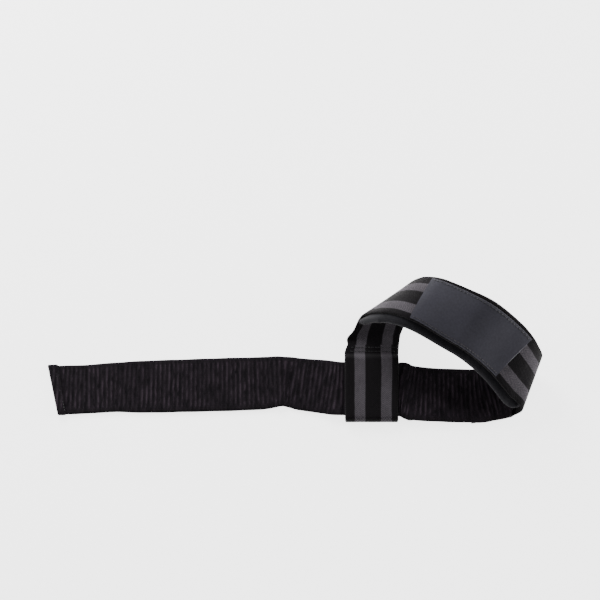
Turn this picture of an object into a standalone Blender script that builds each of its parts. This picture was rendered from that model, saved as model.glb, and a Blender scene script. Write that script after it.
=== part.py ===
"""A weightlifting strap as it lies on a table.

A plain ribbed tail runs through the eye of its own striped band. The band's padded arch is
the opening for the wrist, and its outer face carries a bare label patch. Every cloth piece
is a flat strip laid along a smooth path: a short table gives the path's stations, and the
strip's edges lie on straight rulings across it.
"""
import math

import bpy
import numpy as np

# Webbing of the tail, in metres
TAIL_WIDTH = 0.0392
TAIL_WALL = 0.0020
HEM_WALL = 0.0034
HEM_LENGTH = 0.0070
# Striped webbing of the band
BAND_WIDTH = 0.0380
BAND_WALL = 0.0020
# Padded lining of the arch
PAD_NEAR_OVERHANG = 0.0050
PAD_FAR_OVERHANG = 0.0010
PAD_WALL = 0.0046
PAD_LENGTH = 0.1440
PAD_START = 0.0020
PAD_CORNER = 0.0090
# Share of the pad's wall that is left at its ends, how fast it grows, and what its rims lose
PAD_END_SHARE = 0.45
PAD_END_GROWTH = 9.0
PAD_RIM_LOSS = 0.55
PAD_RIM_POWER = 6
# Bare label patch on the arch
LABEL_WIDTH = 0.0345
LABEL_LENGTH = 0.0760
LABEL_WALL = 0.0010
LABEL_NEAR_MARGIN = 0.0008
# Middle of the patch past the crown, as a share of its length
LABEL_SHIFT = -0.03
# Lie of the strap: reaches are measured from the middle of the eye
TAIL_REACH = 0.2230
LOOP_REACH = 0.1090
LOOP_DEPTH = 0.0300
ARCH_HEIGHT = 0.0490
# Eye that the tail runs through
EYE_SLACK = 0.0014
EYE_STEP = 0.0050
SEAM_LAP = 0.0064
# Shares of the band's width that are left where it folds round the tail, and at the seam's
# near side, and how far the fold leans, as a share of LOOP_REACH
EYE_PINCH = 0.96
SEAM_PINCH = 0.90
EYE_LEAN = -0.01
EYE_TURN_STEP = 30
# Clear gap between touching pieces
GAP = 0.0003

# Heights of the layers that lie on the table
OVER_BAND = BAND_WALL + GAP
OVER_TAIL = OVER_BAND + TAIL_WALL + GAP
# Line across the band where the eye is sewn shut, beyond the tail's far edge
SEAM_Y = TAIL_WIDTH / 2 + EYE_SLACK + EYE_STEP + SEAM_LAP

# The tail from its hemmed end to where the band's end lies under it. run: share of
# TAIL_REACH where negative and of LOOP_REACH where positive; sway: share of TAIL_WIDTH;
# layer: 0 on the table, 1 over the band; slant: heading of the ruling in degrees; near,
# far: shares of half the width
TAIL_ROWS = [
    # run,    sway,   layer, slant, near, far
    (-1.000, -0.015,  0.0,   106.0, 0.91, 0.93),
    (-0.902,  0.006,  0.0,    97.0, 0.92, 0.93),
    (-0.803,  0.044,  0.0,    92.0, 0.93, 0.95),
    (-0.702,  0.058,  0.0,    90.0, 0.98, 0.99),
    (-0.500,  0.092,  0.0,    90.0, 1.00, 1.01),
    (-0.350,  0.120,  0.0,    90.0, 0.99, 1.00),
    (-0.301,  0.136,  0.0,    90.0, 0.96, 0.98),
    (-0.276,  0.140,  0.0,    90.0, 0.93, 0.96),
    (-0.226,  0.106,  0.0,    90.0, 0.98, 0.98),
    (-0.150,  0.048,  0.4,    90.0, 1.00, 1.00),
    (-0.100,  0.006,  1.0,    90.0, 1.00, 1.00),
    (0.165,  -0.016,  1.0,    90.0, 1.00, 1.00),
    (0.205,  -0.036,  1.0,    89.0, 1.04, 1.04),
    (0.260,  -0.078,  1.0,    88.0, 1.01, 1.01),
    (0.405,  -0.115,  1.0,    86.0, 1.00, 1.00),
]

# The band from its end under the tail, over the arch to the table behind the seam. reach:
# share of LOOP_REACH; depth: share of LOOP_DEPTH from the seam; rise: share of ARCH_HEIGHT;
# slant, tilt: heading of the ruling and its rise towards the far edge, in degrees; near:
# share of half the width
ARCH_ROWS = [
    # name,          reach, depth,  rise,  slant, tilt, near
    ("hidden end",   0.640, -1.255, 0.000, 84.0,   0.0, 1.00),
    ("under roll",   0.790, -1.180, 0.000, 80.0,   0.0, 1.00),
    ("right toe",    0.930, -1.095, 0.060, 73.0,   2.0, 1.00),
    ("right roll",   1.000, -1.040, 0.240, 67.0,   8.0, 1.00),
    ("right rise",   0.940, -0.850, 0.460, 63.0,  17.0, 1.04),
    ("right flank",  0.820, -0.470, 0.690, 58.0,  18.0, 1.07),
    ("crown",        0.580,  0.030, 0.960, 53.0,  14.0, 1.05),
    ("left flank",   0.345,  0.540, 0.910, 48.0,   3.0, 1.00),
    ("left top",     0.190,  0.830, 0.690, 42.0,   0.0, 1.00),
    ("left roll",    0.096,  0.930, 0.350, 35.0,   0.0, 0.98),
    ("left foot",    0.048,  0.560, 0.060, 25.0,   0.0, 0.91),
    ("behind seam",  0.014,  0.170, 0.000, 10.0,   0.0, 0.92),
]

STEPS_PER_ROW = 5
FEWEST_STEPS = 8
COLUMNS = 4
PAD_COLUMNS = 8
LABEL_STEPS = 22
LABEL_COLUMNS = 3
# Half the stretch of path from which its direction is taken
TANGENT_STEP = 0.0004
# Rounds that find the ruling through a point of the flat strip
RULING_ROUNDS = 8
SMOOTH_ANGLE = 40


def monotone_slopes(at, values):
    """Slopes of a smooth curve that never swings past its own points."""
    steps = np.diff(at)
    rates = np.diff(values) / steps
    slopes = np.zeros(len(values))
    slopes[0], slopes[-1] = rates[0], rates[-1]
    for i in range(1, len(values) - 1):
        if rates[i - 1] * rates[i] > 0.0:
            before = 2.0 * steps[i] + steps[i - 1]
            after = steps[i] + 2.0 * steps[i - 1]
            slopes[i] = (before + after) / (before / rates[i - 1] + after / rates[i])
    return slopes


def smooth_value(at, values, slopes, t):
    """Cubic through the values with the given slopes."""
    i = int(np.clip(np.searchsorted(at, t) - 1, 0, len(at) - 2))
    span = at[i + 1] - at[i]
    f = (t - at[i]) / span
    start = values[i] * (1.0 + 2.0 * f) + slopes[i] * span * f
    end = values[i + 1] * (3.0 - 2.0 * f) - slopes[i + 1] * span * (1.0 - f)
    return start * (1.0 - f) ** 2 + end * f ** 2


class StripPath:
    """A path for a flat strip: stations with a centre, a ruling and edge shares."""

    def __init__(self, stations):
        self.columns = np.array(stations, dtype=float).T
        centres = self.columns[:3].T
        chords = np.linalg.norm(np.diff(centres, axis=0), axis=1)
        self.at = np.concatenate([[0.0], np.cumsum(chords)])
        self.length = self.at[-1]
        self.slopes = [monotone_slopes(self.at, column) for column in self.columns]

    def column(self, index, t):
        return smooth_value(self.at, self.columns[index], self.slopes[index], t)

    def centre(self, t):
        return np.array([self.column(i, t) for i in range(3)])

    def ruling(self, t):
        """Unit ruling, unit normal and the cosine and sine between path and ruling at t."""
        ahead = self.centre(min(t + TANGENT_STEP, self.length))
        behind = self.centre(max(t - TANGENT_STEP, 0.0))
        tangent = (ahead - behind) / np.linalg.norm(ahead - behind)
        slant, tilt = math.radians(self.column(3, t)), math.radians(self.column(4, t))
        flat = math.cos(tilt)
        ruling = np.array([flat * math.cos(slant), flat * math.sin(slant), math.sin(tilt)])
        normal = np.cross(tangent, ruling)
        sine = np.linalg.norm(normal)
        return ruling, normal / sine, float(np.dot(tangent, ruling)), sine

    def ruled_point(self, t, offset, lift):
        """Place on the ruling at t: offset is the distance from the strip's middle line."""
        ruling, normal, cosine, sine = self.ruling(t)
        share = self.column(6, t) if offset > 0.0 else self.column(5, t)
        return self.centre(t) + ruling * offset * share / sine + normal * lift

    def flat_point(self, along, offset, lift):
        """Place of a point of the flat strip, found on the ruling that passes through it."""
        t = along
        for _ in range(RULING_ROUNDS):
            ruling, normal, cosine, sine = self.ruling(t)
            t = along - offset * cosine / sine
        return self.ruled_point(t, offset, lift)


def tail_path():
    """The tail's own rows, then its end, which lies on the band as far as the right toe."""
    stations = []
    for run, sway, layer, slant, near, far in TAIL_ROWS:
        reach = TAIL_REACH if run < 0.0 else LOOP_REACH
        stations.append((run * reach, sway * TAIL_WIDTH, layer * OVER_BAND, slant, 0.0, near, far))
    band = band_path()
    for name in ("hidden end", "under roll", "right toe"):
        t = station_at(band, name)
        seat = band.ruled_point(t, 0.0, BAND_WALL / 2 + GAP)
        stations.append((*seat, band.column(3, t), band.column(4, t), 1.0, 1.0))
    return StripPath(stations)


def band_path():
    """The arch, then the flat run under the tail, the near fold and the lap over the tail."""
    base = BAND_WALL / 2
    stations = []
    for _, reach, depth, rise, slant, tilt, near in ARCH_ROWS:
        stations.append((reach * LOOP_REACH, SEAM_Y + depth * LOOP_DEPTH,
                         base + rise * ARCH_HEIGHT, slant, tilt, near, 1.0))
    eye_far = TAIL_WIDTH / 2 + EYE_SLACK
    fold_radius = OVER_TAIL / 2
    stations.append((0.0, eye_far, base, 0.0, 0.0, 1.0, 1.0))
    for turn in range(0, 181, EYE_TURN_STEP):
        angle = math.radians(turn)
        stations.append((EYE_LEAN * LOOP_REACH, -eye_far - fold_radius * math.sin(angle),
                         base + fold_radius * (1.0 - math.cos(angle)), 0.0, 0.0,
                         EYE_PINCH, EYE_PINCH))
    stations.append((0.0, eye_far, OVER_TAIL + base, 0.0, 0.0, 1.0, 1.0))
    stations.append((0.0, eye_far + EYE_STEP, OVER_BAND + base, 0.0, 0.0, 1.0, 1.0))
    stations.append((0.0, SEAM_Y, OVER_BAND + base, 0.0, 0.0, SEAM_PINCH, 1.0))
    return StripPath(stations)


def station_at(path, name):
    names = [row[0] for row in ARCH_ROWS]
    return path.at[names.index(name)]


def new_material(name, color, roughness):
    material = bpy.data.materials.new(name)
    material.use_nodes = True
    shader = material.node_tree.nodes["Principled BSDF"]
    shader.inputs["Base Color"].default_value = (*color, 1.0)
    shader.inputs["Roughness"].default_value = roughness
    shader.inputs["Metallic"].default_value = 0.0
    material.diffuse_color = (*color, 1.0)
    return material


def full_share(along, across=0.0):
    return 1.0


def strip(name, path, start, end, near, far, wall, lift, wall_share=full_share,
          reach_share=full_share, columns=COLUMNS):
    """A cloth strip: a grid laid along the path, given its wall with Solidify.

    near and far are its reaches to both sides of the path's middle line, and the wall grows
    along the path's normal. wall_share takes the shares along and across the strip and
    gives the share of the wall there. reach_share gives the share of both reaches.
    """
    rows = int(round((end - start) / path.length * STEPS_PER_ROW * len(path.at)))
    rows = max(FEWEST_STEPS, rows)
    bpy.ops.mesh.primitive_grid_add(x_subdivisions=rows, y_subdivisions=columns, size=2.0)
    piece = bpy.context.object
    piece.name = name
    piece.data.name = name
    group = piece.vertex_groups.new(name="wall")
    for vertex in piece.data.vertices:
        along, across = (vertex.co.x + 1.0) / 2.0, vertex.co.y
        group.add([vertex.index], wall_share(along, across), "REPLACE")
        offset = across * (far if across > 0.0 else near) * reach_share(along)
        vertex.co = path.ruled_point(start + along * (end - start), offset, lift)
    solidify = piece.modifiers.new("Wall", "SOLIDIFY")
    solidify.thickness = wall
    solidify.offset = 1
    solidify.vertex_group = group.name
    return piece


def build_tail():
    """Plain webbing, doubled at its free end by a hem."""
    path = tail_path()

    def wall_share(along, across):
        return 1.0 if along * path.length < HEM_LENGTH else TAIL_WALL / HEM_WALL

    piece = strip("tail_strap", path, 0.0, path.length, TAIL_WIDTH / 2, TAIL_WIDTH / 2, HEM_WALL,
                  0.0, wall_share)
    piece.data.materials.append(new_material("black_ribbed_webbing", (0.014, 0.012, 0.015), 0.85))
    return piece


def build_band():
    """Striped webbing that makes the arch and the eye."""
    path = band_path()
    piece = strip("wrist_band", path, 0.0, path.length, BAND_WIDTH / 2, BAND_WIDTH / 2, BAND_WALL,
                  -BAND_WALL / 2)
    piece.data.materials.append(new_material("striped_webbing", (0.05, 0.048, 0.052), 0.8))
    return piece


def build_pad():
    """Soft lining inside the arch, thinner towards its ends, with round rims and corners."""
    path = band_path()
    start = station_at(path, "right roll") + PAD_START

    def wall_share(along, across):
        end_taper = min(1.0, PAD_END_SHARE + PAD_END_GROWTH * along * (1.0 - along))
        return end_taper * (1.0 - PAD_RIM_LOSS * abs(across) ** PAD_RIM_POWER)

    def reach_share(along):
        into = max(0.0, 1.0 - min(along, 1.0 - along) * PAD_LENGTH / PAD_CORNER)
        return 1.0 - PAD_CORNER / (BAND_WIDTH / 2) * (1.0 - math.sqrt(1.0 - into ** 2))

    piece = strip("wrist_pad", path, start, start + PAD_LENGTH, BAND_WIDTH / 2 + PAD_NEAR_OVERHANG,
                  BAND_WIDTH / 2 + PAD_FAR_OVERHANG, PAD_WALL, BAND_WALL / 2 + GAP, wall_share,
                  reach_share, PAD_COLUMNS)
    piece.data.materials.append(new_material("black_padding", (0.012, 0.012, 0.014), 0.9))
    return piece


def build_label():
    """Bare patch on the outer face of the arch, close to its near edge."""
    path = band_path()
    middle = station_at(path, "crown") + LABEL_SHIFT * LABEL_LENGTH
    middle_offset = LABEL_NEAR_MARGIN - (BAND_WIDTH - LABEL_WIDTH) / 2
    bpy.ops.mesh.primitive_grid_add(x_subdivisions=LABEL_STEPS, y_subdivisions=LABEL_COLUMNS,
                                    size=2.0)
    piece = bpy.context.object
    piece.name = "label_patch"
    piece.data.name = "label_patch"
    for vertex in piece.data.vertices:
        along = middle + vertex.co.x * LABEL_LENGTH / 2
        offset = middle_offset + vertex.co.y * LABEL_WIDTH / 2
        vertex.co = path.flat_point(along, offset, -BAND_WALL / 2 - GAP)
    solidify = piece.modifiers.new("Wall", "SOLIDIFY")
    solidify.thickness = LABEL_WALL
    solidify.offset = -1
    piece.data.materials.append(new_material("slate_patch", (0.055, 0.052, 0.06), 0.7))
    return piece


def stand_on_footprint(pieces):
    """Moves the strap so that the middle of its footprint is the origin."""
    bpy.context.view_layer.update()
    graph = bpy.context.evaluated_depsgraph_get()
    corners = []
    for piece in pieces:
        mesh = piece.evaluated_get(graph).to_mesh()
        corners.extend([list(vertex.co) for vertex in mesh.vertices])
        piece.evaluated_get(graph).to_mesh_clear()
    corners = np.array(corners)
    low, high = corners.min(axis=0), corners.max(axis=0)
    shift = np.array([-(low[0] + high[0]) / 2, -(low[1] + high[1]) / 2, -low[2]])
    for piece in pieces:
        for vertex in piece.data.vertices:
            vertex.co = np.array(vertex.co) + shift


def main():
    for item in list(bpy.data.objects):
        bpy.data.objects.remove(item, do_unlink=True)
    pieces = [build_tail(), build_band(), build_pad(), build_label()]
    stand_on_footprint(pieces)
    collection = bpy.data.collections.new("weightlifting_strap")
    bpy.context.scene.collection.children.link(collection)
    for piece in pieces:
        for home in list(piece.users_collection):
            home.objects.unlink(piece)
        collection.objects.link(piece)
        piece.data.shade_smooth()
        piece.data.set_sharp_from_angle(angle=math.radians(SMOOTH_ANGLE))


main()
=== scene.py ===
"""Looks of a weightlifting strap that lies on a pale table.

The strap is four cloth pieces: a ribbed tail, a striped band, a padded lining and a bare
patch. Each is a flat strip laid along the path that its solid follows, with its weave on a
UV map whose unit is one metre of cloth: U runs along the strip and V across it.
"""
import math

import bmesh
import bpy
import numpy as np
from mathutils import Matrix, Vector


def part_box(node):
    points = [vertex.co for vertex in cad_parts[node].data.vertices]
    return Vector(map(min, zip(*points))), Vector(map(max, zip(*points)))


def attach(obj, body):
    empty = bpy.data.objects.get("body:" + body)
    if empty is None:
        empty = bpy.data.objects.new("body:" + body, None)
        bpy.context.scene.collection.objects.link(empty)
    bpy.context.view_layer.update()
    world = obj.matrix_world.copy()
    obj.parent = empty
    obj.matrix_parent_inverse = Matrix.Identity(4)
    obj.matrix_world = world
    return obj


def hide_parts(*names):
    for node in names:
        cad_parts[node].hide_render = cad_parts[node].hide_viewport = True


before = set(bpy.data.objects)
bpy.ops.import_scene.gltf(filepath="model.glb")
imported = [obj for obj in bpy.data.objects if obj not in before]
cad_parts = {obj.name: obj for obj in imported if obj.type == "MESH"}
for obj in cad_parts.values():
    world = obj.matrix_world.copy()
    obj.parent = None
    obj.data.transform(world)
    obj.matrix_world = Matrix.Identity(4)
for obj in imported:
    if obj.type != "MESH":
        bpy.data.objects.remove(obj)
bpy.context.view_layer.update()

bl_info = {
    "name": "Weightlifting strap",
    "version": (1, 0, 0),
    "blender": (4, 5, 0),
    "location": "3D View > Sidebar > Strap",
    "description": "Lays out a padded lifting strap with its weave, stitches and patch",
    "category": "Object",
}

MM = 0.001

# Walls and gaps of the solids, which the cloth here keeps to
TAIL_WIDTH = 39.2 * MM
TAIL_WALL = 2.0 * MM
HEM_WALL = 3.4 * MM
PUCKER_RUN = -0.272
PUCKER_HEIGHT = 1.5 * MM
BAND_WIDTH = 38.0 * MM
BAND_WALL = 2.0 * MM
PAD_NEAR_OVERHANG = 5.0 * MM
PAD_FAR_OVERHANG = 1.0 * MM
PAD_WALL = 4.6 * MM
PAD_LENGTH = 144.0 * MM
PAD_START = 2.0 * MM
PAD_CORNER = 9.0 * MM
PAD_END_SHARE = 0.45
PAD_END_GROWTH = 9.0
LABEL_WIDTH = 34.5 * MM
LABEL_LENGTH = 76.0 * MM
LABEL_WALL = 1.0 * MM
LABEL_NEAR_MARGIN = 0.8 * MM
LABEL_SHIFT = -0.03
TAIL_REACH = 223.0 * MM
LOOP_REACH = 109.0 * MM
LOOP_DEPTH = 30.0 * MM
ARCH_HEIGHT = 49.0 * MM
EYE_SLACK = 1.4 * MM
EYE_STEP = 5.0 * MM
SEAM_LAP = 6.4 * MM
EYE_PINCH = 0.96
SEAM_PINCH = 0.90
EYE_LEAN = -0.01
EYE_TURN_STEP = 30
GAP = 0.3 * MM
OVER_BAND = BAND_WALL + GAP
OVER_TAIL = OVER_BAND + TAIL_WALL + GAP
SEAM_Y = TAIL_WIDTH / 2 + EYE_SLACK + EYE_STEP + SEAM_LAP
TANGENT_STEP = 0.4 * MM
RULING_ROUNDS = 8

# How far the stripes lie off the webbing's middle: on the arch, and at the eye
ARCH_DRIFT = 1.6 * MM
EYE_DRIFT = -1.0 * MM

# Rows of stitches: how far in from an edge, and how deep the thread sits in the cloth
HEM_STITCH_PLACE = 0.8
HEM_STITCH_SINK = 0.5 * MM
TAIL_STITCH_INSET = 1.5 * MM
BAND_STITCH_INSET = 2.0 * MM
SEAM_STITCH_BACK = 2.0 * MM
INNER_STITCH_BACK = 5.0 * MM
PATCH_STITCH_INSET = 1.6 * MM
STITCH_SHARE = 0.40

# The hem's edge bulges, and the tail's edges waver between their stitches
HEM_BULGE = 0.035
EDGE_WAVER = 0.006
PUCKER_HALF_GAP = 4.0 * MM
PUCKER_CREST = 5.0 * MM
PUCKER_VALLEY = 3.0 * MM
VALLEY_DEPTH = 0.25 * MM

SMOOTH_ANGLE = math.radians(50)
TAIL_STEPS = 1150
BAND_STEPS = 700
PAD_STEPS = 260
LABEL_STEPS = 160

# The tail: share of its reach, sway as a share of its width, layer, ruling, near and far share
TAIL_ROWS = [
    (-1.000, -0.015,  0.0,   106.0, 0.91, 0.93),
    (-0.902,  0.006,  0.0,    97.0, 0.92, 0.93),
    (-0.803,  0.044,  0.0,    92.0, 0.93, 0.95),
    (-0.702,  0.058,  0.0,    90.0, 0.98, 0.99),
    (-0.500,  0.092,  0.0,    90.0, 1.00, 1.01),
    (-0.350,  0.120,  0.0,    90.0, 0.99, 1.00),
    (-0.301,  0.136,  0.0,    90.0, 0.96, 0.98),
    (-0.276,  0.140,  0.0,    90.0, 0.93, 0.96),
    (-0.226,  0.106,  0.0,    90.0, 0.98, 0.98),
    (-0.150,  0.048,  0.4,    90.0, 1.00, 1.00),
    (-0.100,  0.006,  1.0,    90.0, 1.00, 1.00),
    (0.165,  -0.016,  1.0,    90.0, 1.00, 1.00),
    (0.205,  -0.036,  1.0,    89.0, 1.04, 1.04),
    (0.260,  -0.078,  1.0,    88.0, 1.01, 1.01),
    (0.405,  -0.115,  1.0,    86.0, 1.00, 1.00),
]

# The band's arch: share of reach, depth and rise, the ruling's heading and tilt, near share
ARCH_ROWS = [
    ("hidden end",   0.640, -1.255, 0.000, 84.0,   0.0, 1.00),
    ("under roll",   0.790, -1.180, 0.000, 80.0,   0.0, 1.00),
    ("right toe",    0.930, -1.095, 0.060, 73.0,   2.0, 1.00),
    ("right roll",   1.000, -1.040, 0.240, 67.0,   8.0, 1.00),
    ("right rise",   0.940, -0.850, 0.460, 63.0,  17.0, 1.04),
    ("right flank",  0.820, -0.470, 0.690, 58.0,  18.0, 1.07),
    ("crown",        0.580,  0.030, 0.960, 53.0,  14.0, 1.05),
    ("left flank",   0.345,  0.540, 0.910, 48.0,   3.0, 1.00),
    ("left top",     0.190,  0.830, 0.690, 42.0,   0.0, 1.00),
    ("left roll",    0.096,  0.930, 0.350, 35.0,   0.0, 0.98),
    ("left foot",    0.048,  0.560, 0.060, 25.0,   0.0, 0.91),
    ("behind seam",  0.014,  0.170, 0.000, 10.0,   0.0, 0.92),
]

# The camera in the strap's own frame, whose zero is the middle of the eye
CAMERA_PLACE = (-50.4 * MM, -243.6 * MM, 707.5 * MM)
CAMERA_ELEVATION = math.radians(66.17)
CAMERA_FOCAL_PX = 1066.0
FRAME_PX = 600.0


def linear(hex_colour):
    """Linear colour of an sRGB hex value."""
    channels = [int(hex_colour[i:i + 2], 16) / 255.0 for i in (0, 2, 4)]
    return tuple(c / 12.92 if c <= 0.04045 else ((c + 0.055) / 1.055) ** 2.4 for c in channels)


class StrapSizes(bpy.types.PropertyGroup):
    rib_pitch: bpy.props.FloatProperty(
        name="Rib pitch", description="Distance between the tail's weft ribs",
        default=3.1 * MM, unit="LENGTH")
    rib_height: bpy.props.FloatProperty(
        name="Rib height", description="How far a rib stands up from the cloth",
        default=0.22 * MM, unit="LENGTH")
    selvedge_width: bpy.props.FloatProperty(
        name="Selvedge width", description="Width of the tail's plain edge",
        default=3.0 * MM, unit="LENGTH")
    hem_length: bpy.props.FloatProperty(
        name="Hem length", description="Length of the fold at the tail's free end",
        default=6.5 * MM, unit="LENGTH")
    stripe_place: bpy.props.FloatProperty(
        name="Stripe place", description="Distance of a stripe's middle from the band's middle",
        default=9.4 * MM, unit="LENGTH")
    stripe_width: bpy.props.FloatProperty(
        name="Stripe width", description="Width of one grey stripe",
        default=7.6 * MM, unit="LENGTH")
    stitch_pitch: bpy.props.FloatProperty(
        name="Stitch pitch", description="Length of one stitch with its gap",
        default=2.4 * MM, unit="LENGTH")
    thread_radius: bpy.props.FloatProperty(
        name="Thread radius", description="Radius of the sewing thread",
        default=0.26 * MM, unit="LENGTH")


class StrapColours(bpy.types.PropertyGroup):
    tail_dark: bpy.props.FloatVectorProperty(
        name="Tail ground", description="Black cotton between the ribs", subtype="COLOR",
        default=linear("0f0c10"))
    tail_light: bpy.props.FloatVectorProperty(
        name="Tail ribs", description="Worn tops of the ribs", subtype="COLOR",
        default=linear("382f37"))
    band_dark: bpy.props.FloatVectorProperty(
        name="Band ground", description="Dark warp of the striped webbing", subtype="COLOR",
        default=linear("0e0b0e"))
    band_stripe: bpy.props.FloatVectorProperty(
        name="Band stripe", description="Grey warp of the striped webbing", subtype="COLOR",
        default=linear("4c484d"))
    pad_cloth: bpy.props.FloatVectorProperty(
        name="Pad cloth", description="Black knit over the foam", subtype="COLOR",
        default=linear("111015"))
    patch: bpy.props.FloatVectorProperty(
        name="Patch", description="Slate coated cloth of the bare patch", subtype="COLOR",
        default=linear("33323a"))
    thread: bpy.props.FloatVectorProperty(
        name="Thread", description="Polyester sewing thread", subtype="COLOR",
        default=linear("131216"))


def monotone_slopes(at, values):
    """Slopes of a smooth curve that never swings past its own points."""
    steps = np.diff(at)
    rates = np.diff(values) / steps
    slopes = np.zeros(len(values))
    slopes[0], slopes[-1] = rates[0], rates[-1]
    for i in range(1, len(values) - 1):
        if rates[i - 1] * rates[i] > 0.0:
            before = 2.0 * steps[i] + steps[i - 1]
            after = steps[i] + 2.0 * steps[i - 1]
            slopes[i] = (before + after) / (before / rates[i - 1] + after / rates[i])
    return slopes


class StripPath:
    """A path for a flat strip: stations with a centre, a ruling and edge shares."""

    def __init__(self, stations):
        self.columns = np.array(stations, dtype=float).T
        chords = np.linalg.norm(np.diff(self.columns[:3].T, axis=0), axis=1)
        self.at = np.concatenate([[0.0], np.cumsum(chords)])
        self.length = self.at[-1]
        self.slopes = [monotone_slopes(self.at, column) for column in self.columns]

    def column(self, index, t):
        """A column's smooth value at each place of t."""
        t = np.clip(t, 0.0, self.length)
        i = np.clip(np.searchsorted(self.at, t) - 1, 0, len(self.at) - 2)
        values, slopes = self.columns[index], self.slopes[index]
        span = self.at[i + 1] - self.at[i]
        f = (t - self.at[i]) / span
        start = values[i] * (1.0 + 2.0 * f) + slopes[i] * span * f
        end = values[i + 1] * (3.0 - 2.0 * f) - slopes[i + 1] * span * (1.0 - f)
        return start * (1.0 - f) ** 2 + end * f ** 2

    def centre(self, t):
        return np.stack([self.column(i, t) for i in range(3)], axis=-1)

    def ruling(self, t):
        """Unit rulings, unit normals and the cosine and sine between path and ruling."""
        tangent = self.centre(t + TANGENT_STEP) - self.centre(t - TANGENT_STEP)
        tangent /= np.linalg.norm(tangent, axis=-1, keepdims=True)
        slant, tilt = np.radians(self.column(3, t)), np.radians(self.column(4, t))
        ruling = np.stack([np.cos(tilt) * np.cos(slant), np.cos(tilt) * np.sin(slant),
                           np.sin(tilt)], axis=-1)
        normal = np.cross(tangent, ruling)
        sine = np.linalg.norm(normal, axis=-1)
        return ruling, normal / sine[..., None], (tangent * ruling).sum(axis=-1), sine

    def ruled_points(self, t, offset, lift):
        """Places on the rulings at t, and how far along the flat cloth each one lies."""
        ruling, normal, cosine, sine = self.ruling(t)
        share = np.where(offset > 0.0, self.column(6, t), self.column(5, t))
        reach = offset * share / sine
        place = self.centre(t) + ruling * reach[..., None] + normal * lift[..., None]
        return place, t + reach * cosine

    def flat_points(self, along, offset, lift):
        """Places of points of the flat cloth, found on the rulings that pass through them."""
        t = along
        for _ in range(RULING_ROUNDS):
            ruling, normal, cosine, sine = self.ruling(t)
            t = along - offset * cosine / sine
        return self.ruled_points(t, offset, lift)[0]


def build_band_path():
    base = BAND_WALL / 2
    stations = []
    for name, reach, depth, rise, slant, tilt, near in ARCH_ROWS:
        stations.append((reach * LOOP_REACH, SEAM_Y + depth * LOOP_DEPTH,
                         base + rise * ARCH_HEIGHT, slant, tilt, near, 1.0))
    eye_far = TAIL_WIDTH / 2 + EYE_SLACK
    radius = OVER_TAIL / 2
    stations.append((0.0, eye_far, base, 0.0, 0.0, 1.0, 1.0))
    for turn in range(0, 181, EYE_TURN_STEP):
        angle = math.radians(turn)
        stations.append((EYE_LEAN * LOOP_REACH, -eye_far - radius * math.sin(angle),
                         base + radius * (1.0 - math.cos(angle)), 0.0, 0.0,
                         EYE_PINCH, EYE_PINCH))
    stations.append((0.0, eye_far, OVER_TAIL + base, 0.0, 0.0, 1.0, 1.0))
    stations.append((0.0, eye_far + EYE_STEP, OVER_BAND + base, 0.0, 0.0, 1.0, 1.0))
    stations.append((0.0, SEAM_Y, OVER_BAND + base, 0.0, 0.0, SEAM_PINCH, 1.0))
    return StripPath(stations)


BAND_PATH = build_band_path()


def station(name):
    """Place of a named station along the band's path."""
    return BAND_PATH.at[[row[0] for row in ARCH_ROWS].index(name)]


def build_tail_path():
    stations = []
    for run, sway, layer, slant, near, far in TAIL_ROWS:
        reach = TAIL_REACH if run < 0.0 else LOOP_REACH
        stations.append((run * reach, sway * TAIL_WIDTH, layer * OVER_BAND, slant, 0.0, near, far))
    for name in ("hidden end", "under roll", "right toe"):
        t = np.array([station(name)])
        seat = BAND_PATH.ruled_points(t, np.zeros(1), np.full(1, OVER_BAND - BAND_WALL / 2))[0][0]
        stations.append((*seat, BAND_PATH.column(3, t)[0], BAND_PATH.column(4, t)[0], 1.0, 1.0))
    return StripPath(stations)


TAIL_PATH = build_tail_path()


def table_shift():
    """From the strap's own zero, the middle of the eye, to the frame's."""
    corner = TAIL_PATH.ruled_points(np.zeros(1), np.full(1, TAIL_WIDTH / 2), np.zeros(1))[0][0]
    t = np.linspace(0.0, BAND_PATH.length, BAND_STEPS)
    near = np.full(len(t), -BAND_WIDTH / 2)
    edges = [BAND_PATH.ruled_points(t, near, np.full(len(t), lift))[0]
             for lift in (-BAND_WALL / 2, BAND_WALL / 2)]
    lowest_y = min(edge[:, 1].min() for edge in edges)
    return np.array([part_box("tail_strap")[0][0] - corner[0],
                     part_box("wrist_band")[0][1] - lowest_y, 0.0])


SHIFT = table_shift()


def deselect_all():
    for item in bpy.context.selected_objects:
        item.select_set(False)


def new_piece(name, places, faces, flat):
    """A mesh object from rows of places, with a UV map in metres of flat cloth."""
    mesh = bpy.data.meshes.new(name)
    mesh.from_pydata((places + SHIFT).tolist(), [], faces)
    layer = mesh.uv_layers.new(name="cloth")
    loops = np.zeros(len(mesh.loops), dtype=np.int32)
    mesh.loops.foreach_get("vertex_index", loops)
    layer.data.foreach_set("uv", flat[loops].astype(np.float32).ravel())
    piece = bpy.data.objects.new(name, mesh)
    bpy.context.scene.collection.objects.link(piece)
    shape = bmesh.new()
    shape.from_mesh(mesh)
    bmesh.ops.recalc_face_normals(shape, faces=shape.faces)
    shape.to_mesh(mesh)
    shape.free()
    deselect_all()
    piece.select_set(True)
    bpy.context.view_layer.objects.active = piece
    bpy.ops.object.shade_smooth_by_angle(angle=SMOOTH_ANGLE)
    return piece


def tube_faces(rows, ring):
    """Quads of a closed tube of rings, with a cap at each end."""
    faces = []
    for r in range(rows - 1):
        for c in range(ring):
            n = (c + 1) % ring
            faces.append((r * ring + c, r * ring + n, (r + 1) * ring + n, (r + 1) * ring + c))
    faces.append(tuple(range(ring)))
    faces.append(tuple((rows - 1) * ring + c for c in range(ring)))
    return faces


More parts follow.
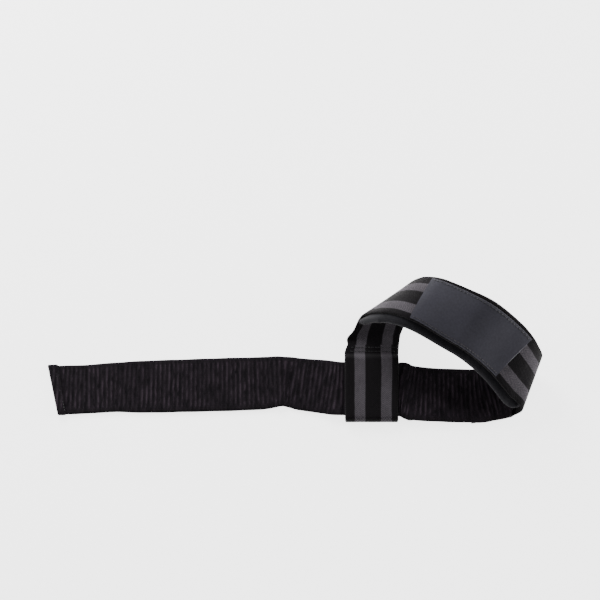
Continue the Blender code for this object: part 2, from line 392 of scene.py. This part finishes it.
def section(near, far, wall, columns, corner=4):
    """A strip's closed section with half-round edges: offsets and lifts about its middle."""
    radius = wall / 2
    offsets, lifts = [], []
    for c in np.linspace(-near + radius, far - radius, columns):
        offsets.append(c)
        lifts.append(radius)
    for k in range(1, corner):
        angle = math.pi / 2 - math.pi * k / corner
        offsets.append(far - radius + radius * math.cos(angle))
        lifts.append(radius * math.sin(angle))
    for c in np.linspace(far - radius, -near + radius, columns):
        offsets.append(c)
        lifts.append(-radius)
    for k in range(1, corner):
        angle = -math.pi / 2 - math.pi * k / corner
        offsets.append(-near + radius + radius * math.cos(angle))
        lifts.append(radius * math.sin(angle))
    return np.array(offsets), np.array(lifts)


def sweep(name, path, t, offsets, lifts, relief=None, reach=None):
    """A closed strip swept along a path.

    relief changes the lifts at each place, and reach is the share of the width at each row.
    """
    grid_t = np.repeat(t[:, None], len(offsets), axis=1)
    grid_o = np.repeat(offsets[None, :], len(t), axis=0)
    if reach is not None:
        grid_o = grid_o * reach[:, None]
    grid_l = np.repeat(lifts[None, :], len(t), axis=0)
    if relief is not None:
        along = path.ruled_points(grid_t, grid_o, grid_l)[1]
        grid_l = relief(grid_t, along, grid_o, grid_l)
    places, along = path.ruled_points(grid_t, grid_o, grid_l)
    flat = np.stack([along, grid_o], axis=-1).reshape(-1, 2)
    faces = tube_faces(len(t), len(offsets))
    return new_piece(name, places.reshape(-1, 3), faces, flat)


def sew(name, path, start, end, sizes):
    """A row of stitches between two flat places, each (along, offset, lift).

    Each stitch is a long bead that dips into the cloth at both ends.
    """
    start, end = np.array(start), np.array(end)
    radius = sizes.thread_radius
    run = np.linalg.norm((end - start)[:2])
    count = max(1, int(round(run / sizes.stitch_pitch)))
    deselect_all()
    bpy.ops.mesh.primitive_uv_sphere_add(segments=8, ring_count=6, radius=1.0)
    bead = bpy.context.object
    shape = np.array([list(v.co) for v in bead.data.vertices])
    bead_faces = [tuple(p.vertices) for p in bead.data.polygons]
    bead_mesh = bead.data
    bpy.data.objects.remove(bead)
    bpy.data.meshes.remove(bead_mesh)
    heading = (end - start)[:2] / run
    side = np.array([-heading[1], heading[0]])
    places, faces, flat = [], [], []
    for k in range(count):
        middle = start + (end - start) * (k + 0.5) / count
        length = STITCH_SHARE * run / count
        spot = middle[:2] + np.outer(shape[:, 2] * length, heading)
        spot += np.outer(shape[:, 0] * radius, side)
        bow = (1.0 - shape[:, 2] ** 2) * 0.6 * radius
        lift = middle[2] + np.sign(middle[2]) * bow + shape[:, 1] * radius
        faces.extend(tuple(k * len(shape) + v for v in face) for face in bead_faces)
        places.append(path.flat_points(spot[:, 0], spot[:, 1], lift))
        flat.append(spot)
    return new_piece(name, np.concatenate(places), faces, np.concatenate(flat))


def node(tree, kind, values=None, links=None, **settings):
    """Adds a node with its settings, its socket values and its links."""
    made = tree.nodes.new(kind)
    for key, value in settings.items():
        setattr(made, key, value)
    for key, value in (values or {}).items():
        made.inputs[key].default_value = value
    for key, source in (links or {}).items():
        tree.links.new(source, made.inputs[key])
    return made


def new_material(name, roughness, sheen, sheen_roughness=0.5, specular=0.15):
    """A cloth: polyester or cotton fibre, IOR 1.5, matt, with a fuzz that catches light."""
    material = bpy.data.materials.new(name)
    material.use_nodes = True
    tree = material.node_tree
    shader = tree.nodes["Principled BSDF"]
    shader.inputs["Roughness"].default_value = roughness
    shader.inputs["IOR"].default_value = 1.5
    shader.inputs["Specular IOR Level"].default_value = specular
    shader.inputs["Sheen Weight"].default_value = sheen
    shader.inputs["Sheen Roughness"].default_value = sheen_roughness
    return material, tree, shader


def cloth_axes(tree):
    """U and V of the cloth in metres, pushed about a little as woven yarn is."""
    uv = node(tree, "ShaderNodeUVMap", uv_map="cloth")
    wobble = node(tree, "ShaderNodeTexNoise", {"Scale": 260.0, "Detail": 2.0},
                  {"Vector": uv.outputs["UV"]})
    centred = node(tree, "ShaderNodeVectorMath", {1: (0.5, 0.5, 0.5)},
                   {0: wobble.outputs["Color"]}, operation="SUBTRACT")
    pushed = node(tree, "ShaderNodeVectorMath", {1: (0.00045, 0.00045, 0.0)},
                  {0: centred.outputs[0]}, operation="MULTIPLY")
    moved = node(tree, "ShaderNodeVectorMath", {}, {0: uv.outputs["UV"], 1: pushed.outputs[0]},
                 operation="ADD")
    axes = node(tree, "ShaderNodeSeparateXYZ", {}, {0: moved.outputs[0]})
    return uv.outputs["UV"], axes.outputs["X"], axes.outputs["Y"]


def wave(tree, axis, pitch, sharp=1.0):
    """Waves of the given pitch along an axis, from 0 to 1."""
    turn = node(tree, "ShaderNodeMath", {1: 2.0 * math.pi / pitch}, {0: axis},
                operation="MULTIPLY")
    sine = node(tree, "ShaderNodeMath", {}, {0: turn.outputs[0]}, operation="SINE")
    half = node(tree, "ShaderNodeMath", {1: 0.5, 2: 0.5}, {0: sine.outputs[0]},
                operation="MULTIPLY_ADD")
    crests = node(tree, "ShaderNodeMath", {1: sharp}, {0: half.outputs[0]}, operation="POWER")
    return crests.outputs[0]


def ribbed_cotton(sizes, colours):
    """Black cotton webbing, woven with thick weft: cross ribs, dull, with pale worn tops."""
    material, tree, shader = new_material("ribbed_cotton_webbing", 0.92, 0.06, specular=0.08)
    uv, along, across = cloth_axes(tree)
    ribs = wave(tree, along, sizes.rib_pitch)
    crests = wave(tree, along, sizes.rib_pitch, 3.0)
    picks = wave(tree, along, sizes.rib_pitch / 2)
    yarn = wave(tree, across, 1.3 * MM)
    # Wear: broken marks along the ribs' tops, in clouds some 20 mm wide
    stretch = node(tree, "ShaderNodeMapping", {"Scale": (330.0, 95.0, 1.0)}, {"Vector": uv})
    slubs = node(tree, "ShaderNodeTexNoise", {"Scale": 1.0, "Detail": 3.0, "Roughness": 0.7},
                 {"Vector": stretch.outputs[0]})
    clouds = node(tree, "ShaderNodeTexNoise", {"Scale": 42.0, "Detail": 2.0, "Roughness": 0.5},
                  {"Vector": uv})
    lint = node(tree, "ShaderNodeTexNoise", {"Scale": 950.0, "Detail": 1.0}, {"Vector": uv})
    lint_mask = node(tree, "ShaderNodeMapRange", {1: 0.68, 2: 0.80, 3: 0.0, 4: 0.5},
                     {0: lint.outputs["Fac"]})
    slub_mask = node(tree, "ShaderNodeMapRange", {1: 0.38, 2: 0.62, 3: 0.0, 4: 1.0},
                     {0: slubs.outputs["Fac"]})
    cloud_mask = node(tree, "ShaderNodeMapRange", {1: 0.36, 2: 0.62, 3: 0.25, 4: 1.0},
                      {0: clouds.outputs["Fac"]})
    # The selvedge is woven plain, so it has no ribs and stays dark
    edge = node(tree, "ShaderNodeMath", {}, {0: across}, operation="ABSOLUTE")
    inside = node(tree, "ShaderNodeMapRange",
                  {1: TAIL_WIDTH / 2 - sizes.selvedge_width,
                   2: TAIL_WIDTH / 2 - sizes.selvedge_width - 1.5 * MM, 3: 0.1, 4: 1.0},
                  {0: edge.outputs[0]})
    worn = node(tree, "ShaderNodeMath", {}, {0: crests, 1: slub_mask.outputs[0]},
                operation="MULTIPLY")
    worn = node(tree, "ShaderNodeMath", {}, {0: worn.outputs[0], 1: cloud_mask.outputs[0]},
                operation="MULTIPLY")
    worn = node(tree, "ShaderNodeMath", {}, {0: worn.outputs[0], 1: inside.outputs[0]},
                operation="MULTIPLY")
    soft = node(tree, "ShaderNodeMath", {1: 0.22}, {0: slub_mask.outputs[0], 2: worn.outputs[0]},
                operation="MULTIPLY_ADD")
    total = node(tree, "ShaderNodeMath", {}, {0: soft.outputs[0], 1: lint_mask.outputs[0]},
                 operation="ADD", use_clamp=True)
    colour = node(tree, "ShaderNodeMix",
                  {6: (*colours.tail_dark, 1.0), 7: (*colours.tail_light, 1.0)},
                  {0: total.outputs[0]}, data_type="RGBA")
    tree.links.new(colour.outputs[2], shader.inputs["Base Color"])
    weave = node(tree, "ShaderNodeMath", {1: 0.35}, {0: picks, 2: ribs}, operation="MULTIPLY_ADD")
    crossed = node(tree, "ShaderNodeMath", {1: 0.25}, {0: yarn, 2: weave.outputs[0]},
                   operation="MULTIPLY_ADD")
    rough = node(tree, "ShaderNodeMath", {1: 0.5}, {0: slubs.outputs["Fac"], 2: crossed.outputs[0]},
                 operation="MULTIPLY_ADD")
    bump = node(tree, "ShaderNodeBump", {"Strength": 0.7, "Distance": 0.3 * MM},
                {"Height": rough.outputs[0]})
    tree.links.new(bump.outputs[0], shader.inputs["Normal"])
    return material


def striped_webbing(sizes, colours):
    """Polyester webbing with two grey warp stripes: a fine herringbone, softly shining."""
    material, tree, shader = new_material("striped_polyester_webbing", 0.8, 0.05,
                                          specular=0.08)
    uv, along, across = cloth_axes(tree)
    distance = node(tree, "ShaderNodeMath", {}, {0: across}, operation="ABSOLUTE")
    off_stripe = node(tree, "ShaderNodeMath", {1: sizes.stripe_place}, {0: distance.outputs[0]},
                      operation="SUBTRACT")
    off_middle = node(tree, "ShaderNodeMath", {}, {0: off_stripe.outputs[0]}, operation="ABSOLUTE")
    stripe = node(tree, "ShaderNodeMapRange",
                  {1: sizes.stripe_width / 2 + 0.25 * MM, 2: sizes.stripe_width / 2 - 0.25 * MM,
                   3: 0.0, 4: 1.0}, {0: off_middle.outputs[0]})
    # Herringbone: the twill leans one way and then the other, 2.4 mm wide each
    fold = node(tree, "ShaderNodeMath", {1: 2.4 * MM}, {0: across}, operation="PINGPONG")
    leaning = node(tree, "ShaderNodeMath", {}, {0: along, 1: fold.outputs[0]}, operation="ADD")
    twill = wave(tree, leaning.outputs[0], 1.5 * MM, 0.8)
    yarn = wave(tree, across, 0.9 * MM)
    grain = node(tree, "ShaderNodeTexNoise", {"Scale": 700.0, "Detail": 2.0, "Roughness": 0.7},
                 {"Vector": uv})
    patches = node(tree, "ShaderNodeTexNoise", {"Scale": 70.0, "Detail": 2.0}, {"Vector": uv})
    weave = node(tree, "ShaderNodeMath", {}, {0: twill, 1: grain.outputs["Fac"]},
                 operation="MULTIPLY")
    shade = node(tree, "ShaderNodeMapRange", {1: 0.05, 2: 0.6, 3: 0.55, 4: 1.2},
                 {0: weave.outputs[0]})
    tone = node(tree, "ShaderNodeMapRange", {1: 0.3, 2: 0.7, 3: 0.85, 4: 1.15},
                {0: patches.outputs["Fac"]})
    shade = node(tree, "ShaderNodeMath", {}, {0: shade.outputs[0], 1: tone.outputs[0]},
                 operation="MULTIPLY")
    colour = node(tree, "ShaderNodeMix",
                  {6: (*colours.band_dark, 1.0), 7: (*colours.band_stripe, 1.0)},
                  {0: stripe.outputs[0]}, data_type="RGBA")
    grey = node(tree, "ShaderNodeCombineColor", {}, {0: shade.outputs[0], 1: shade.outputs[0],
                                                     2: shade.outputs[0]})
    shaded = node(tree, "ShaderNodeMix", {0: 1.0}, {6: colour.outputs[2], 7: grey.outputs[0]},
                  data_type="RGBA", blend_type="MULTIPLY")
    tree.links.new(shaded.outputs[2], shader.inputs["Base Color"])
    height = node(tree, "ShaderNodeMath", {1: 0.5}, {0: yarn, 2: twill}, operation="MULTIPLY_ADD")
    bump = node(tree, "ShaderNodeBump", {"Strength": 0.55, "Distance": 0.2 * MM},
                {"Height": height.outputs[0]})
    tree.links.new(bump.outputs[0], shader.inputs["Normal"])
    return material


def pad_knit(colours):
    """Black knit drawn over foam: fine loops, matt, paler where it is stretched."""
    material, tree, shader = new_material("black_knit_over_foam", 0.9, 0.1)
    uv, along, across = cloth_axes(tree)
    wales = wave(tree, across, 1.1 * MM)
    courses = wave(tree, along, 1.0 * MM)
    loops = node(tree, "ShaderNodeMath", {}, {0: wales, 1: courses}, operation="MULTIPLY")
    fuzz = node(tree, "ShaderNodeTexNoise", {"Scale": 320.0, "Detail": 3.0}, {"Vector": uv})
    mixed = node(tree, "ShaderNodeMath", {1: 0.5}, {0: loops.outputs[0], 2: fuzz.outputs["Fac"]},
                 operation="MULTIPLY_ADD")
    shade = node(tree, "ShaderNodeMapRange", {1: 0.3, 2: 1.0, 3: 0.6, 4: 1.3},
                 {0: mixed.outputs[0]})
    grey = node(tree, "ShaderNodeCombineColor", {}, {0: shade.outputs[0], 1: shade.outputs[0],
                                                     2: shade.outputs[0]})
    colour = node(tree, "ShaderNodeMix", {0: 1.0, 6: (*colours.pad_cloth, 1.0)},
                  {7: grey.outputs[0]}, data_type="RGBA", blend_type="MULTIPLY")
    tree.links.new(colour.outputs[2], shader.inputs["Base Color"])
    bump = node(tree, "ShaderNodeBump", {"Strength": 0.5, "Distance": 0.18 * MM},
                {"Height": mixed.outputs[0]})
    tree.links.new(bump.outputs[0], shader.inputs["Normal"])
    return material


def patch_cloth(colours):
    """Slate cloth with a thin soft coat: nearly smooth, with a grain finer than a millimetre."""
    material, tree, shader = new_material("slate_coated_cloth", 0.68, 0.08)
    uv = node(tree, "ShaderNodeUVMap", uv_map="cloth").outputs["UV"]
    grain = node(tree, "ShaderNodeTexNoise", {"Scale": 620.0, "Detail": 3.0, "Roughness": 0.65},
                 {"Vector": uv})
    clouds = node(tree, "ShaderNodeTexNoise", {"Scale": 60.0, "Detail": 2.0}, {"Vector": uv})
    total = node(tree, "ShaderNodeMath", {1: 0.6},
                 {0: clouds.outputs["Fac"], 2: grain.outputs["Fac"]}, operation="MULTIPLY_ADD")
    shade = node(tree, "ShaderNodeMapRange", {1: 0.5, 2: 1.1, 3: 0.8, 4: 1.2},
                 {0: total.outputs[0]})
    grey = node(tree, "ShaderNodeCombineColor", {}, {0: shade.outputs[0], 1: shade.outputs[0],
                                                     2: shade.outputs[0]})
    colour = node(tree, "ShaderNodeMix", {0: 1.0, 6: (*colours.patch, 1.0)}, {7: grey.outputs[0]},
                  data_type="RGBA", blend_type="MULTIPLY")
    tree.links.new(colour.outputs[2], shader.inputs["Base Color"])
    bump = node(tree, "ShaderNodeBump", {"Strength": 0.3, "Distance": 0.08 * MM},
                {"Height": grain.outputs["Fac"]})
    tree.links.new(bump.outputs[0], shader.inputs["Normal"])
    return material


def sewing_thread(colours):
    """Twisted polyester thread: smoother than the cloth, with a soft shine."""
    material, tree, shader = new_material("polyester_thread", 0.5, 0.1, specular=0.5)
    _, along, across = cloth_axes(tree)
    twist = node(tree, "ShaderNodeMath", {}, {0: along, 1: across}, operation="ADD")
    plies = wave(tree, twist.outputs[0], 0.5 * MM)
    bright = tuple(c * 1.6 for c in colours.thread)
    colour = node(tree, "ShaderNodeMix", {6: (*colours.thread, 1.0), 7: (*bright, 1.0)}, {0: plies},
                  data_type="RGBA")
    tree.links.new(colour.outputs[2], shader.inputs["Base Color"])
    return material


def finish_piece(piece, material, slot, *nodes):
    """Gives a piece its material, hangs it under the root body and hides the solids it stands for.
    """
    piece.data.materials.append(material)
    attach(piece, "root")
    if nodes:
        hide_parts(*nodes)


def drift_stripes(band):
    """Lets the weave wander, so the stripes lie nearer one edge on the arch than at the eye."""
    layer = band.data.uv_layers["cloth"].data
    flat = np.zeros(len(layer) * 2, dtype=np.float32)
    layer.foreach_get("uv", flat)
    flat = flat.reshape(-1, 2)
    arch_end, eye_start = station("left roll"), station("behind seam")
    past = np.clip((flat[:, 0] - arch_end) / (eye_start - arch_end), 0.0, 1.0)
    flat[:, 1] += ARCH_DRIFT + (EYE_DRIFT - ARCH_DRIFT) * past
    layer.foreach_set("uv", flat.ravel())


class STRAP_OT_lay_tail(bpy.types.Operator):
    """Lay the ribbed tail with its folded and stitched hem"""
    bl_idname = "strap.lay_tail"
    bl_label = "Lay tail"

    def execute(self, context):
        sizes, colours = context.scene.strap_sizes, context.scene.strap_colours
        cotton = ribbed_cotton(sizes, colours)
        thread = sewing_thread(colours)
        rib_turn = 2.0 * math.pi / sizes.rib_pitch
        pucker_at = (1.0 + PUCKER_RUN) * TAIL_REACH

        def hem(t):
            """1 on the folded hem, falling to 0 at both of its ends."""
            into = np.clip(t / sizes.hem_length, 0.0, 1.0)
            return np.clip(8.8 * into * (1.0 - into), 0.0, 1.0) ** 0.5

        def cloth_relief(row, along, offset, lift):
            from_edge = (TAIL_WIDTH / 2 - np.abs(offset)) / sizes.selvedge_width
            inner = np.clip(from_edge - 0.6, 0.0, 1.0)
            ribs = sizes.rib_height * inner * (0.5 + 0.5 * np.sin(along * rib_turn))
            top = lift > TAIL_WALL / 2
            lift = lift + np.where(top, ribs - sizes.rib_height * 0.5 * inner, 0.0)
            lift = lift * (1.0 + (HEM_WALL / TAIL_WALL - 1.0) * hem(row))
            past = along - pucker_at
            crest = np.exp(-((past + PUCKER_HALF_GAP) / PUCKER_CREST) ** 2)
            valley = np.exp(-((past - PUCKER_HALF_GAP) / PUCKER_VALLEY) ** 2)
            return lift + crest * PUCKER_HEIGHT - np.where(top, VALLEY_DEPTH * valley, 0.0)

        offsets, lifts = section(TAIL_WIDTH / 2, TAIL_WIDTH / 2, TAIL_WALL, 30)
        t = np.linspace(0.0, TAIL_PATH.length, TAIL_STEPS)
        waver = np.sin(t / (5.3 * MM)) * np.sin(t / (11.0 * MM))
        reach = 1.0 + HEM_BULGE * hem(t) + EDGE_WAVER * waver
        tail = sweep("tail_webbing", TAIL_PATH, t, offsets, lifts + TAIL_WALL / 2,
                     cloth_relief, reach)
        finish_piece(tail, cotton, "ribbed_webbing", "tail_strap")
        # The hem's stitches run along the slanted end
        edge = TAIL_WIDTH / 2 - TAIL_STITCH_INSET
        slant = edge * math.cos(math.radians(TAIL_ROWS[0][3]))
        at = sizes.hem_length * HEM_STITCH_PLACE
        lift = HEM_WALL - HEM_STITCH_SINK
        stitches = sew("hem_stitches", TAIL_PATH, (at - slant, -edge, lift),
                       (at + slant, edge, lift), sizes)
        finish_piece(stitches, thread, "ribbed_webbing")
        return {"FINISHED"}


class STRAP_OT_lay_band(bpy.types.Operator):
    """Lay the striped band: its arch, its eye and the seam that closes the eye"""
    bl_idname = "strap.lay_band"
    bl_label = "Lay band"

    def execute(self, context):
        sizes, colours = context.scene.strap_sizes, context.scene.strap_colours
        webbing = striped_webbing(sizes, colours)
        offsets, lifts = section(BAND_WIDTH / 2, BAND_WIDTH / 2, BAND_WALL, 28)
        t = np.linspace(0.0, BAND_PATH.length, BAND_STEPS)
        band = sweep("band_webbing", BAND_PATH, t, offsets, lifts)
        drift_stripes(band)
        finish_piece(band, webbing, "striped_webbing", "wrist_band")
        thread = sewing_thread(colours)
        edge = BAND_WIDTH / 2 - BAND_STITCH_INSET
        backs = {"seam_stitches": SEAM_STITCH_BACK, "inner_seam_stitches": INNER_STITCH_BACK}
        for name, back in backs.items():
            at = BAND_PATH.length - back
            row = sew(name, BAND_PATH, (at, -edge * SEAM_PINCH, -BAND_WALL / 2),
                      (at, edge, -BAND_WALL / 2), sizes)
            finish_piece(row, thread, "striped_webbing")
        return {"FINISHED"}


class STRAP_OT_lay_pad(bpy.types.Operator):
    """Lay the padded lining under the arch"""
    bl_idname = "strap.lay_pad"
    bl_label = "Lay pad"

    def execute(self, context):
        knit = pad_knit(context.scene.strap_colours)
        start = station("right roll") + PAD_START
        offsets, lifts = section(BAND_WIDTH / 2 + PAD_NEAR_OVERHANG,
                                 BAND_WIDTH / 2 + PAD_FAR_OVERHANG, PAD_WALL, 30, 8)
        seat = BAND_WALL / 2 + GAP
        t = np.linspace(start, start + PAD_LENGTH, PAD_STEPS)

        def soft_ends(row, along, offset, lift):
            place = np.clip((row - start) / PAD_LENGTH, 0.0, 1.0)
            share = np.minimum(1.0, PAD_END_SHARE + PAD_END_GROWTH * place * (1.0 - place))
            return seat + (lift + PAD_WALL / 2) * share

        to_end = np.minimum(t - start, start + PAD_LENGTH - t)
        into = np.clip(1.0 - to_end / PAD_CORNER, 0.0, 1.0)
        corners = 1.0 - PAD_CORNER / (BAND_WIDTH / 2) * (1.0 - np.sqrt(1.0 - into ** 2))
        pad = sweep("pad_lining", BAND_PATH, t, offsets, lifts, soft_ends, corners)
        finish_piece(pad, knit, "padding", "wrist_pad")
        return {"FINISHED"}


class STRAP_OT_sew_patch(bpy.types.Operator):
    """Sew the bare patch on the arch's outer face"""
    bl_idname = "strap.sew_patch"
    bl_label = "Sew patch"

    def execute(self, context):
        sizes, colours = context.scene.strap_sizes, context.scene.strap_colours
        cloth = patch_cloth(colours)
        thread = sewing_thread(colours)
        middle = station("crown") + LABEL_SHIFT * LABEL_LENGTH
        middle_offset = LABEL_NEAR_MARGIN - (BAND_WIDTH - LABEL_WIDTH) / 2
        offsets, lifts = section(LABEL_WIDTH / 2, LABEL_WIDTH / 2, LABEL_WALL, 24)
        along = np.linspace(middle - LABEL_LENGTH / 2, middle + LABEL_LENGTH / 2, LABEL_STEPS)
        grid_a = np.repeat(along[:, None], len(offsets), axis=1)
        grid_o = np.repeat(offsets[None, :] + middle_offset, len(along), axis=0)
        grid_l = np.repeat(lifts[None, :], len(along), axis=0) - (BAND_WALL + LABEL_WALL) / 2 - GAP
        places = BAND_PATH.flat_points(grid_a, grid_o, grid_l).reshape(-1, 3)
        flat = np.stack([grid_a, grid_o], axis=-1).reshape(-1, 2)
        patch = new_piece("bare_patch", places, tube_faces(len(along), len(offsets)), flat)
        finish_piece(patch, cloth, "patch", "label_patch")
        top = -(BAND_WALL / 2 + GAP + LABEL_WALL)
        run, edge = LABEL_LENGTH / 2 - PATCH_STITCH_INSET, LABEL_WIDTH / 2 - PATCH_STITCH_INSET
        low, high = middle - run, middle + run
        near, far = middle_offset - edge, middle_offset + edge
        rows = {"patch_near_stitches": ((low, near, top), (high, near, top)),
                "patch_far_stitches": ((low, far, top), (high, far, top))}
        for name, (start, end) in rows.items():
            row = sew(name, BAND_PATH, start, end, sizes)
            finish_piece(row, thread, "patch")
        return {"FINISHED"}


class STRAP_OT_set_stage(bpy.types.Operator):
    """Set the pale floor, the soft lights and the camera"""
    bl_idname = "strap.set_stage"
    bl_label = "Set stage"

    def execute(self, context):
        deselect_all()
        bpy.ops.mesh.primitive_plane_add(size=6.0, location=(0.0, 0.0, -0.0002))
        floor = context.object
        floor.name = "floor"
        material, tree, shader = new_material("pale_floor", 0.9, 0.0)
        shader.inputs["Base Color"].default_value = (*linear("f4f4f4"), 1.0)
        # A light table: it shines a little itself, so the cloth's sides are lit from below
        shader.inputs["Emission Color"].default_value = (1.0, 1.0, 1.0, 1.0)
        shader.inputs["Emission Strength"].default_value = 3.0
        floor.data.materials.append(material)
        world = bpy.data.worlds.new("studio")
        world.use_nodes = True
        world.node_tree.nodes["Background"].inputs["Color"].default_value = (1.0, 1.0, 1.0, 1.0)
        world.node_tree.nodes["Background"].inputs["Strength"].default_value = 0.28
        context.scene.world = world
        lights = {"back_key": ((-0.45, 0.9, 0.55), 0.5, 15.0),
                  "left_window": ((-1.0, 0.3, 0.35), 0.6, 8.0),
                  "right_window": ((1.0, 0.2, 0.35), 0.6, 10.0)}
        for name, (place, size, power) in lights.items():
            lamp = bpy.data.lights.new(name, "AREA")
            lamp.energy = power
            lamp.size = size
            lamp_object = bpy.data.objects.new(name, lamp)
            lamp_object.location = place
            aim = Vector((0.03, 0.0, 0.02)) - Vector(place)
            lamp_object.rotation_euler = aim.to_track_quat("-Z", "Y").to_euler()
            context.scene.collection.objects.link(lamp_object)
        lens = bpy.data.cameras.new("camera")
        lens.sensor_width = 36.0
        lens.lens = CAMERA_FOCAL_PX / FRAME_PX * lens.sensor_width
        lens.clip_start = 0.01
        camera = bpy.data.objects.new("camera", lens)
        camera.location = Vector(CAMERA_PLACE) + Vector(SHIFT)
        camera.rotation_euler = (math.pi / 2 - CAMERA_ELEVATION, 0.0, 0.0)
        context.scene.collection.objects.link(camera)
        context.scene.camera = camera
        return {"FINISHED"}


class STRAP_PT_panel(bpy.types.Panel):
    """Buttons and sizes of the strap"""
    bl_idname = "STRAP_PT_panel"
    bl_label = "Weightlifting strap"
    bl_space_type = "VIEW_3D"
    bl_region_type = "UI"
    bl_category = "Strap"

    def draw(self, context):
        for group in (context.scene.strap_sizes, context.scene.strap_colours):
            for key in group.__annotations__:
                self.layout.prop(group, key)
        for operator in OPERATORS:
            self.layout.operator(operator.bl_idname)


OPERATORS = (STRAP_OT_lay_tail, STRAP_OT_lay_band, STRAP_OT_lay_pad, STRAP_OT_sew_patch,
             STRAP_OT_set_stage)
CLASSES = (StrapSizes, StrapColours, *OPERATORS, STRAP_PT_panel)


def register():
    for entry in CLASSES:
        bpy.utils.register_class(entry)
    bpy.types.Scene.strap_sizes = bpy.props.PointerProperty(type=StrapSizes)
    bpy.types.Scene.strap_colours = bpy.props.PointerProperty(type=StrapColours)


def unregister():
    del bpy.types.Scene.strap_colours
    del bpy.types.Scene.strap_sizes
    for entry in reversed(CLASSES):
        bpy.utils.unregister_class(entry)


def main():
    register()
    bpy.ops.strap.set_stage()
    bpy.ops.strap.lay_tail()
    bpy.ops.strap.lay_band()
    bpy.ops.strap.lay_pad()
    bpy.ops.strap.sew_patch()


if __name__ == "__main__":
    main()
